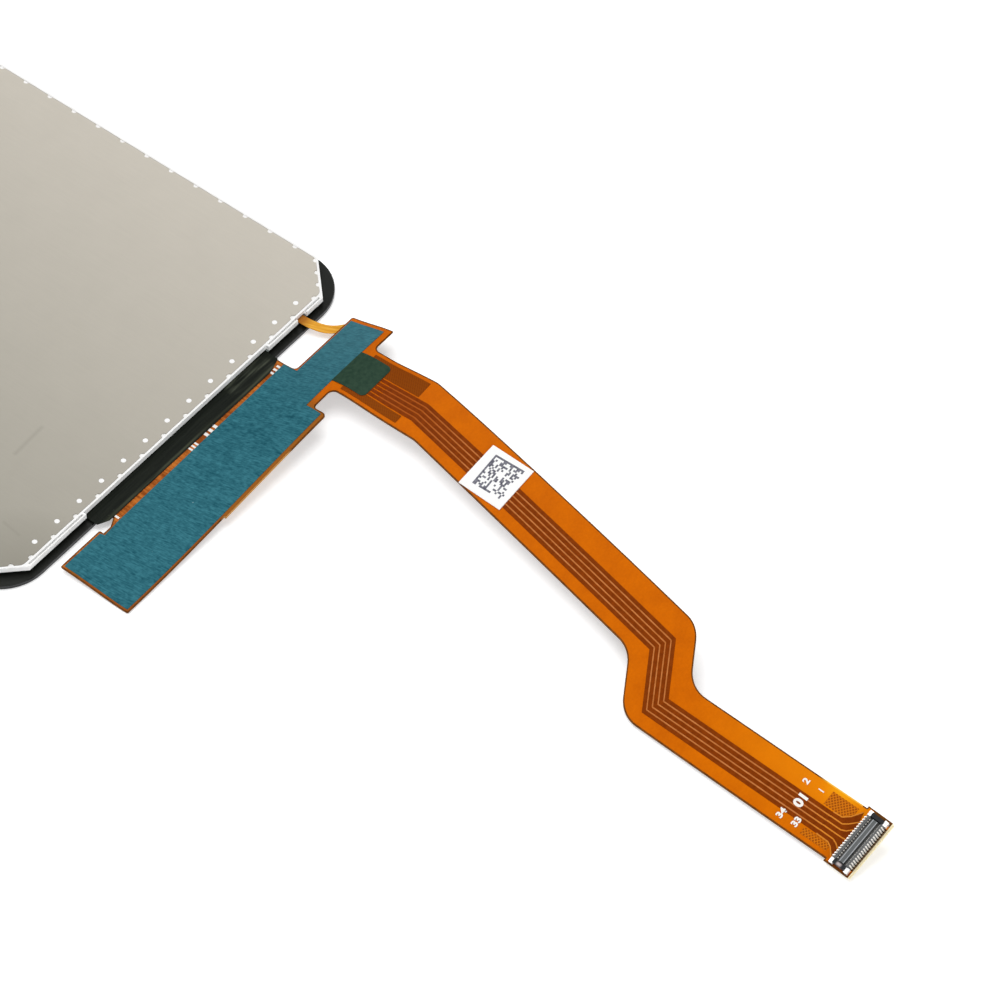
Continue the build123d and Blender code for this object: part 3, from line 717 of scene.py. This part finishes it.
# %% [markdown]
# ## Teal film
# The board carries a stiff teal film with a brushed look. Short fine strokes and longer wide ones run
# the same way, and some grain breaks them up, since pure streaks would look like machined metal.
# The board's +X end twists towards the light, and a painted highlight makes it a little paler.

# %% Teal film
brush_turn = radians(-9)
teal_film, tree, shader, place = new_finish("board_film_teal", (0.03, 0.16, 0.2), 0.5, 0.12, (0.4, 0.9, 1))
x = axis_of(tree, place, "X")
brushed = add_streaks(tree, place, 0.18, 1, brush_turn)
wide = add_streaks(tree, place, 1, 5, brush_turn)
shade = mixture(tree, (brushed, 0.5), (wide, 0.2), (add_grain(tree, place, 0.5), 0.3))
teal = blend_colors(tree, spread(tree, shade, 0.35, 0.65), (0.006, 0.075, 0.106), (0.044, 0.2, 0.25))
# painted highlight: paler towards the +X end, which twists towards the light
teal = blend_colors(tree, spread(tree, x, 12 * MM, 27 * MM, 0.0, 0.3), teal, (0.085, 0.22, 0.26))
specks = add_dust(tree, place, 1.6, 0.12)
paint(tree, shader, blend_colors(tree, specks, teal, (0.25, 0.42, 0.45)))
add_bump(tree, shader, brushed, 0.25, 0.03 * MM)
dress(teal_film, "board_film")

# %% [markdown]
# ## Green film and copper bands
# A dark green film stiffens the root of the tail. The five bands of copper run below the cover film
# and look like dark amber. As solids on top they need a colour seen through film and not bare
# metal, so even their specular tint is orange.

# %% Green film and copper bands
green_film = toned_finish(
    "tongue_film_green", (0.028, 0.063, 0.038), 0.5, 0.6,
    (0.015, 0.043, 0.026), (0.03, 0.066, 0.04), specular=0.08,
)
dress(green_film, "tongue_film")
track_copper = toned_finish(
    "track_copper", (0.24, 0.045, 0.006), 0.35, 0.6,
    (0.165, 0.022, 0.0006), (0.235, 0.036, 0.0012), specular=0.15, tint=(1, 0.4, 0.05),
)
dress(track_copper, "signal_tracks")

# %% [markdown]
# ## Hatched copper
# Beside the bands lie patches of etched copper net. Its wires are about a tenth of a millimetre
# wide, and modelled they would need thousands of faces, so the net is a pattern. At the tail's root
# it is finer and darker than at the connector, and the finish chooses between the two by Y.

# %% Hatched copper
mesh_copper, tree, shader, place = new_finish(
    "hatched_copper", (0.4, 0.08, 0.004), 0.35, 0.15, (1, 0.4, 0.02)
)
y = axis_of(tree, place, "Y")
wide_net = use_group(tree, hatch, place, turn=radians(2), pitch=0.36 * MM, line=0.35)
fine_net = use_group(tree, hatch, place, turn=0.0, pitch=0.24 * MM, line=0.5)
over_wide = blend_colors(tree, wide_net, (0.3, 0.06, 0.004), (0.62, 0.17, 0.006))
over_fine = blend_colors(tree, fine_net, (0.15, 0.025, 0.001), (0.25, 0.05, 0.0015))
paint(tree, shader, blend_colors(tree, above(tree, y, -120 * MM), over_wide, over_fine))
dress(mesh_copper, "ground_mesh")

# %% [markdown]
# ## Yellow light tail and label
# The light bar's own little flex has a clearer, yellow cover film with slanting streaks, and painted
# shade darkens it where it comes out of the frame, as a mask on Y. The label is matt white paper,
# which needs only the faintest grain, because its dark cells are modelled later.

# %% Light tail and label
tail_yellow, tree, shader, place = new_finish(
    "light_tail_yellow", (0.8, 0.37, 0.05), 0.35, 0.2, (1, 0.7, 0.3)
)
y = axis_of(tree, place, "Y")
tone = add_streaks(tree, place, 0.3, 4, radians(-25))
yellow = blend_colors(tree, spread(tree, tone, 0.35, 0.65), (0.72, 0.3, 0.02), (0.9, 0.47, 0.06))
painted_shade_by_frame = spread(tree, y, -75.6 * MM, -74.2 * MM)
# painted shade where the strip comes out from under the frame
paint(tree, shader, blend_colors(tree, painted_shade_by_frame, yellow, (0.38, 0.13, 0.012)))
dress(tail_yellow, "led_strip")
label_paper = toned_finish(
    "label_paper", (0.97, 0.97, 0.96), 0.6, 0.4, (0.95, 0.95, 0.94), (0.99, 0.99, 0.98), 0.0, 1.0
)
dress(label_paper, "code_label")

# %% [markdown]
# ## Connector housing
# The housing is dark glass-filled plastic. Its groove and ridge are solids, but their shading is
# smaller than a pixel at this distance, so the finish also lightens the groove, darkens the ridge
# and draws the bright line along the ridge's edge.

# %% Housing
groove_end = 3.45
housing_dark, tree, shader, place = new_finish("housing_dark", (0.045, 0.047, 0.05), 0.4, 0.08)
row_place = use_group(tree, pad_place, place)
side_place = use_group(tree, pad_place, place, across_row=1.0)
from_middle = off_line(tree, row_place, 0.0)
from_ridge = off_line(tree, side_place, 0.0)
tone = add_grain(tree, place, 0.25)
plastic = blend_colors(tree, spread(tree, tone), (0.085, 0.087, 0.088), (0.17, 0.173, 0.172))
inside = below(tree, from_middle, groove_end * MM)
groove = product(tree, inside, below(tree, from_ridge, 0.86 * MM))
plastic = blend_colors(tree, groove, plastic, (0.2, 0.2, 0.195))
ridge = product(tree, inside, below(tree, from_ridge, 0.37 * MM))
plastic = blend_colors(tree, ridge, plastic, (0.12, 0.128, 0.13))
shine = product(tree, inside, below(tree, off_line(tree, from_ridge, 0.3 * MM), 0.05 * MM))
plastic = blend_colors(tree, shine, plastic, (0.42, 0.44, 0.46))
print(housing_dark.name, "groove and ridge end at", groove_end, "mm")

# %% [markdown]
# The contacts' plated shoulders show as short dashes on the outer half of both walls, one for each
# contact. A repeated fraction of the distance sets them out at the pitch of the contacts, so they
# stay in step. Both ends of the housing are darker, and the -X end has a pale painted reflection.

# %% Dashes and ends of the housing
contact_pitch = 0.4
in_pitches = math_node(tree, "ADD", math_node(tree, "DIVIDE", from_middle, contact_pitch * MM), 0.5)
on_dash = below(tree, off_line(tree, math_node(tree, "FRACT", in_pitches), 0.5), 0.25)
dashes = product(tree, on_dash, below(tree, from_middle, 3.4 * MM), above(tree, from_ridge, 1.2 * MM))
plastic = blend_colors(tree, dashes, plastic, (0.85, 0.82, 0.76))
dark_ends = product(tree, above(tree, from_middle, 3.55 * MM), 0.9)
plastic = blend_colors(tree, dark_ends, plastic, (0.01, 0.011, 0.014))
# painted reflection: a pale patch on the -X end of the housing
painted_reflection = product(
    tree,
    spread(tree, off_line(tree, row_place, -3.9 * MM), 0.1 * MM, 0.3 * MM, 1.0, 0.0),
    spread(tree, from_ridge, 0.2 * MM, 0.5 * MM, 1.0, 0.0),
)
plastic = blend_colors(tree, painted_reflection, plastic, (0.5, 0.43, 0.43))
paint(tree, shader, plastic)
add_bump(tree, shader, tone, 0.3, 0.02 * MM)
dress(housing_dark, "connector_housing")

# %% [markdown]
# ## Contacts, tabs and plate
# The contacts are plated and the corner tabs are tinned. Both are only half metallic here, because a
# full metal would mirror the white room and lose its colour. Brown flux has run over the tips of the
# feet along the free edge. The plate behind the connector is cream glass-fibre board.

# %% Contacts, tabs and plate
contact_metal, tree, shader, place = new_finish("contact_plating", (0.92, 0.86, 0.74), 0.3, metallic=0.6)
side_place = use_group(tree, pad_place, place, across_row=1.0)
plated = blend_colors(tree, add_grain(tree, place, 0.3), (0.88, 0.82, 0.7), (0.98, 0.96, 0.92))
tips = below(tree, side_place, -1.55 * MM)
paint(tree, shader, blend_colors(tree, tips, plated, (0.12, 0.07, 0.03)))
dress(contact_metal, "connector_contacts")
tab_tin = toned_finish(
    "tab_tin", (0.9, 0.9, 0.9), 0.35, 0.3,
    (0.82, 0.82, 0.82), (0.96, 0.96, 0.95), 0.0, 1.0, metallic=0.5,
)
dress(tab_tin, "connector_holddowns")
board_cream = toned_finish(
    "stiffener_cream", (0.85, 0.72, 0.45), 0.5, (0.2, 0.8), (0.88, 0.76, 0.48), (0.99, 0.92, 0.68)
)
dress(board_cream, "stiffener")

# %% [markdown]
# ## Printed marks
# White screen-printed marks sit on the cover film: pin numbers beside the connector and short
# dashes along the bond. Each mark is a flat face, and its corners are set down on the solids below
# with a ray, so that the print follows the slight twist of the tail. Modelled print keeps sharp
# edges at any distance.


# %% Laying print on the solids
ray_height = 20 * MM


def surface_tree(*names):
    """One search tree over several solids, in object space."""
    verts = []
    faces = []
    for name in names:
        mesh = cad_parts[name].data
        start = len(verts)
        verts.extend(v.co.copy() for v in mesh.vertices)
        faces.extend([start + i for i in f.vertices] for f in mesh.polygons)
    return BVHTree.FromPolygons(verts, faces)


def lay_down(bm, surface, gap):
    """Drop every vertex onto the solids, or level with their nearest edge; every face looks up."""
    for v in bm.verts:
        start = Vector((v.co.x, v.co.y, ray_height))
        hit = surface.ray_cast(start, Vector((0, 0, -1)))[0] or surface.find_nearest(start)[0]
        v.co.z = hit.z + gap
    bm.normal_update()
    bmesh.ops.reverse_faces(bm, faces=[face for face in bm.faces if face.normal.z < 0])


def finish_piece(bm, name, finish):
    """Turn a bmesh into a piece that rides on the module."""
    mesh = bpy.data.meshes.new(name)
    bm.to_mesh(mesh)
    bm.free()
    mesh.materials.append(finish)
    piece = bpy.data.objects.new(name, mesh)
    scene.collection.objects.link(piece)
    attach(piece, "root")
    print(name, "has", len(mesh.polygons), "faces")


# %% [markdown]
# Figures come from Blender's own font, as a text curve with a slight offset that makes it bold. The
# curve is made a mesh before its place is applied, so that the finished piece sits at the origin.

# %% Pin numbers
film_top = surface_tree("cover_film")
over_tracks = 0.085 * MM
print_white = toned_finish(
    "print_white", (0.9, 0.88, 0.84), 0.5, 0.25, (0.84, 0.8, 0.74), (0.95, 0.94, 0.92), 0.0, 1.0
)


def put_text(bm, words, size, at, turn, weight):
    """Add flat figures to a bmesh, centred on a place given in millimetres."""
    curve = bpy.data.curves.new("words", "FONT")
    curve.body = words
    curve.size = size * MM
    curve.offset = size * MM * weight
    curve.align_x = "CENTER"
    curve.align_y = "CENTER"
    curve.resolution_u = 3
    holder = bpy.data.objects.new("words", curve)
    scene.collection.objects.link(holder)
    bpy.context.view_layer.update()
    flat = bpy.data.meshes.new_from_object(holder.evaluated_get(bpy.context.evaluated_depsgraph_get()))
    flat.transform(Matrix.Translation((at[0] * MM, at[1] * MM, 0)) @ Matrix.Rotation(turn, 4, "Z"))
    bm.from_mesh(flat)
    bpy.data.objects.remove(holder)
    bpy.data.curves.remove(curve)
    bpy.data.meshes.remove(flat)


bm = bmesh.new()
for words, size, at, weight in (
    ("2", 1.3, (5.13, -176.1), 0.04),
    ("1", 1.3, (5.06, -178.58), 0.01),
    ("34", 1.3, (0.16, -175.91), 0.045),
    ("33", 1.3, (0.18, -178.32), 0.045),
    ("01", 1.9, (2.79, -177.07), 0.05),
):
    put_text(bm, words, size, at, row_turn, weight)
lay_down(bm, film_top, over_tracks)
finish_piece(bm, "pin_numbers", print_white)

# %% [markdown]
# ## Copper lines
# Between the five dark bands of the tail lie four thin pale lines, and near the connector bands and
# lines spread out to the whole row of contacts. A place on the tail is a run along a leg and a shift
# across it, so the same few numbers serve for the long lines and for the fan.


# %% The tail's centre line
def step_from(point, heading, run):
    """Point reached from another over a run, with the heading measured from -Y towards -X."""
    return (point[0] - run * sin(radians(heading)), point[1] - run * cos(radians(heading)))


leg_turn = (0.0, 12.1, 58.4, 3.1)
leg_run = (12.75, 49.8, 9.0, 32.5)
track_shift = (-0.66, -0.75, 0.0, -0.48)
leg_starts = [(22.07, -86.25)]
for heading, run in zip(leg_turn, leg_run):
    leg_starts.append(step_from(leg_starts[-1], heading, run))
print("legs start at", [(round(x, 2), round(y, 2)) for x, y in leg_starts])


def on_leg(leg, run, shift):
    """Place on the tail, with the shift counted from the middle of the tracks."""
    along = step_from(leg_starts[leg], leg_turn[leg], run)
    return step_from(along, leg_turn[leg] - 90, shift + track_shift[leg])


def bend_place(leg, shift):
    """Where a line beside the centre of the tracks turns from one leg into the next."""
    ax, ay = on_leg(leg, 0, shift)
    bx, by = on_leg(leg + 1, 0, shift)
    a = radians(leg_turn[leg])
    b = radians(leg_turn[leg + 1])
    run = (sin(b) * (by - ay) - cos(b) * (bx - ax)) / sin(a - b)
    return step_from((ax, ay), leg_turn[leg], run)


def ribbon(bm, places, width, piece_l=0.8):
    """Flat band along a chain of places in millimetres, cut into short pieces so that it can bend."""
    for start, end in zip(places, places[1:]):
        run = Vector(end) - Vector(start)
        aside = Vector((-run.y, run.x)).normalized() * width / 2
        count = max(1, int(run.length / piece_l))
        rows = []
        for i in range(count + 1):
            middle = Vector(start) + run * i / count
            rows.append([bm.verts.new((*((middle + aside * s) * MM), 0)) for s in (-1, 1)])
        for low, high in zip(rows, rows[1:]):
            bm.faces.new((low[0], high[0], high[1], low[1]))


# %% [markdown]
# The pale lines are gaps in the copper, seen through the film. They are duller at the tail's root
# and take the bright orange of the film in the fan. As ribbons they follow every bend exactly.

# %% Pale lines
line_pale, tree, shader, place = new_finish("line_pale", (0.6, 0.2, 0.05), 0.35, 0.2, (1, 0.5, 0.2))
y = axis_of(tree, place, "Y")
tone = add_grain(tree, place, 1.2)
pale = blend_colors(tree, spread(tree, tone), (0.44, 0.125, 0.022), (0.58, 0.2, 0.055))
pale = blend_colors(tree, spread(tree, y, -112 * MM, -98 * MM), pale, (0.42, 0.085, 0.006))
at_fan = spread(tree, y, -178 * MM, -182 * MM, 0.0, 0.8)
paint(tree, shader, blend_colors(tree, at_fan, pale, (0.72, 0.24, 0.015)))

track_step = 0.7
line_w = 0.17
lines_start = 6.0
fan_start = 29.2
over_film = 0.05 * MM
bm = bmesh.new()
for k in (-1.5, -0.5, 0.5, 1.5):
    shift = track_step * k
    chain = [on_leg(0, lines_start, shift)]
    chain += [bend_place(leg, shift) for leg in (0, 1, 2)]
    chain.append(on_leg(3, fan_start, shift))
    ribbon(bm, chain, line_w)
lay_down(bm, film_top, over_film)
finish_piece(bm, "pale_lines", line_pale)

# %% [markdown]
# In the fan, six lines part five bands. Each line is a chain of four places on the last leg, and
# the bands fill the space between one line and the next.

# %% Fan at the connector
fan_lines = (
    ((fan_start, 1.68), (30.6, 1.74), (31.5, 2.4), (32.5, 3.7)),
    ((fan_start, 1.05), (31.2, 1.05), (31.9, 1.5), (32.9, 2.4)),
    ((fan_start, 0.35), (31.5, 0.35), (32.2, 0.6), (32.9, 1.2)),
    ((fan_start, -0.35), (31.7, -0.36), (32.3, -0.36), (32.9, -0.3)),
    ((fan_start, -1.05), (31.5, -1.08), (32.2, -1.35), (32.9, -1.8)),
    ((fan_start, -1.68), (31.2, -1.74), (31.9, -2.1), (32.9, -3.1)),
)
bm = bmesh.new()
for one, other in zip(fan_lines, fan_lines[1:]):
    for i in range(3):
        corners = [one[i], one[i + 1], other[i + 1], other[i]]
        bm.faces.new([bm.verts.new((*(Vector(on_leg(3, *c)) * MM), 0)) for c in corners])
bmesh.ops.subdivide_edges(bm, edges=bm.edges, cuts=2, use_grid_fill=True)
lay_down(bm, film_top, over_tracks)
finish_piece(bm, "fan_bands", track_copper)

over_bands = 0.015 * MM
bm = bmesh.new()
for chain in fan_lines:
    ribbon(bm, [on_leg(3, *c) for c in chain], line_w, 0.4)
lay_down(bm, film_top, over_tracks + over_bands)
finish_piece(bm, "fan_lines", line_pale)

# %% [markdown]
# ## White dots
# The sheet's holes are punched over the white reflector, which shines through them. A disc in each
# hole, just below the sheet's top, shows the dot without the hole's own shadow.

# %% White dots in the holes
hole_count = 13
hole_pitch = 4.5
hole_shift = 0.27
dot_r = 0.37
dot_z = 2.085
bm = bmesh.new()
for y in (-71.7, 72.22):
    for k in range(hole_count):
        made = bmesh.ops.create_circle(bm, cap_ends=True, segments=20, radius=dot_r * MM)
        x = hole_shift + (k - hole_count // 2) * hole_pitch
        bmesh.ops.translate(bm, verts=made["verts"], vec=Vector((x, y, dot_z)) * MM)
finish_piece(bm, "hole_dots", dot_white)

# %% [markdown]
# ## Dashes along the bond
# Short white dashes mark where the flex has to lie on the ledge before it is bonded. Each is a small
# grid, scaled to its width and laid on the film.

# %% Dashes along the bond
dash_l = 0.85
dash_y = -76.75
dash_gap = 0.02 * MM
bm = bmesh.new()
for x, w in (
    (-16.0, 0.34), (-0.9, 0.3), (-0.3, 0.3), (0.3, 0.3), (2.4, 0.5), (3.3, 0.5), (4.2, 0.5),
    (16.3, 0.36), (17.0, 0.36), (17.7, 0.36),
):
    made = bmesh.ops.create_grid(bm, x_segments=1, y_segments=2, size=0.5)
    bmesh.ops.scale(bm, verts=made["verts"], vec=(w * MM, dash_l * MM, 1))
    bmesh.ops.translate(bm, verts=made["verts"], vec=(x * MM, dash_y * MM, 0))
lay_down(bm, film_top, dash_gap)
finish_piece(bm, "bond_dashes", print_white)

# %% [markdown]
# ## Pattern on the label
# The label carries a square field of small dark cells. This one is a seeded random pattern that
# stands for no data: a grid of faces, most of them deleted, laid on the label. The last row and
# column stay whole.

# %% Label cells
cells_each_way = 18
field = 5.0 * MM
label_x = 18.87 * MM
label_y = -114.1 * MM
label_turn = radians(-1)
ink_gap = 0.012 * MM
empty_share = 0.56
rolls = random.Random(7)
bm = bmesh.new()
bmesh.ops.create_grid(bm, x_segments=cells_each_way, y_segments=cells_each_way, size=field / 2)
gone = []
for face in bm.faces:
    centre = face.calc_center_median() / field + Vector((0.5, 0.5, 0))
    border = max(centre.x, centre.y) > 1 - 1 / cells_each_way
    if not border and rolls.random() < empty_share:
        gone.append(face)
bmesh.ops.delete(bm, geom=gone, context="FACES")
bmesh.ops.rotate(bm, verts=bm.verts, cent=(0, 0, 0), matrix=Matrix.Rotation(label_turn, 3, "Z"))
bmesh.ops.translate(bm, verts=bm.verts, vec=(label_x, label_y, 0))
lay_down(bm, surface_tree("code_label"), ink_gap)
cell_ink = toned_finish(
    "cell_ink", (0.08, 0.08, 0.11), 0.6, 0.3, (0.05, 0.05, 0.08), (0.22, 0.22, 0.26), 0.35, 0.65
)
finish_piece(bm, "label_cells", cell_ink)

# %% [markdown]
# ## Floor
# The photograph's ground is pure white with faint shadows. The floor is a plain pale surface that
# also glows a little for the camera, so that its lit part is white and its shadow stays.

# %% Floor
floor_glow = 0.42
floor_half = 4.0
under_glass = 0.02 * MM
bm = bmesh.new()
bmesh.ops.create_grid(bm, x_segments=1, y_segments=1, size=floor_half)
bmesh.ops.translate(bm, verts=bm.verts, vec=(0, 0, -under_glass))
mesh = bpy.data.meshes.new("floor")
bm.to_mesh(mesh)
bm.free()
floor = bpy.data.objects.new("floor", mesh)
scene.collection.objects.link(floor)
floor_pale, tree, shader, place = new_finish("floor_pale", (0.9, 0.9, 0.9), 1.0, 0.0)
shader.inputs["Emission Color"].default_value = (1, 1, 1, 1)
rays = tree.nodes.new("ShaderNodeLightPath")
direct = math_node(tree, "MAXIMUM", rays.outputs["Is Camera Ray"], rays.outputs["Is Glossy Ray"])
direct = math_node(tree, "MAXIMUM", direct, rays.outputs["Is Transmission Ray"])
tree.links.new(product(tree, direct, floor_glow), shader.inputs["Emission Strength"])
mesh.materials.append(floor_pale)
print("floor reaches", floor_half, "m each way and glows at", floor_glow)
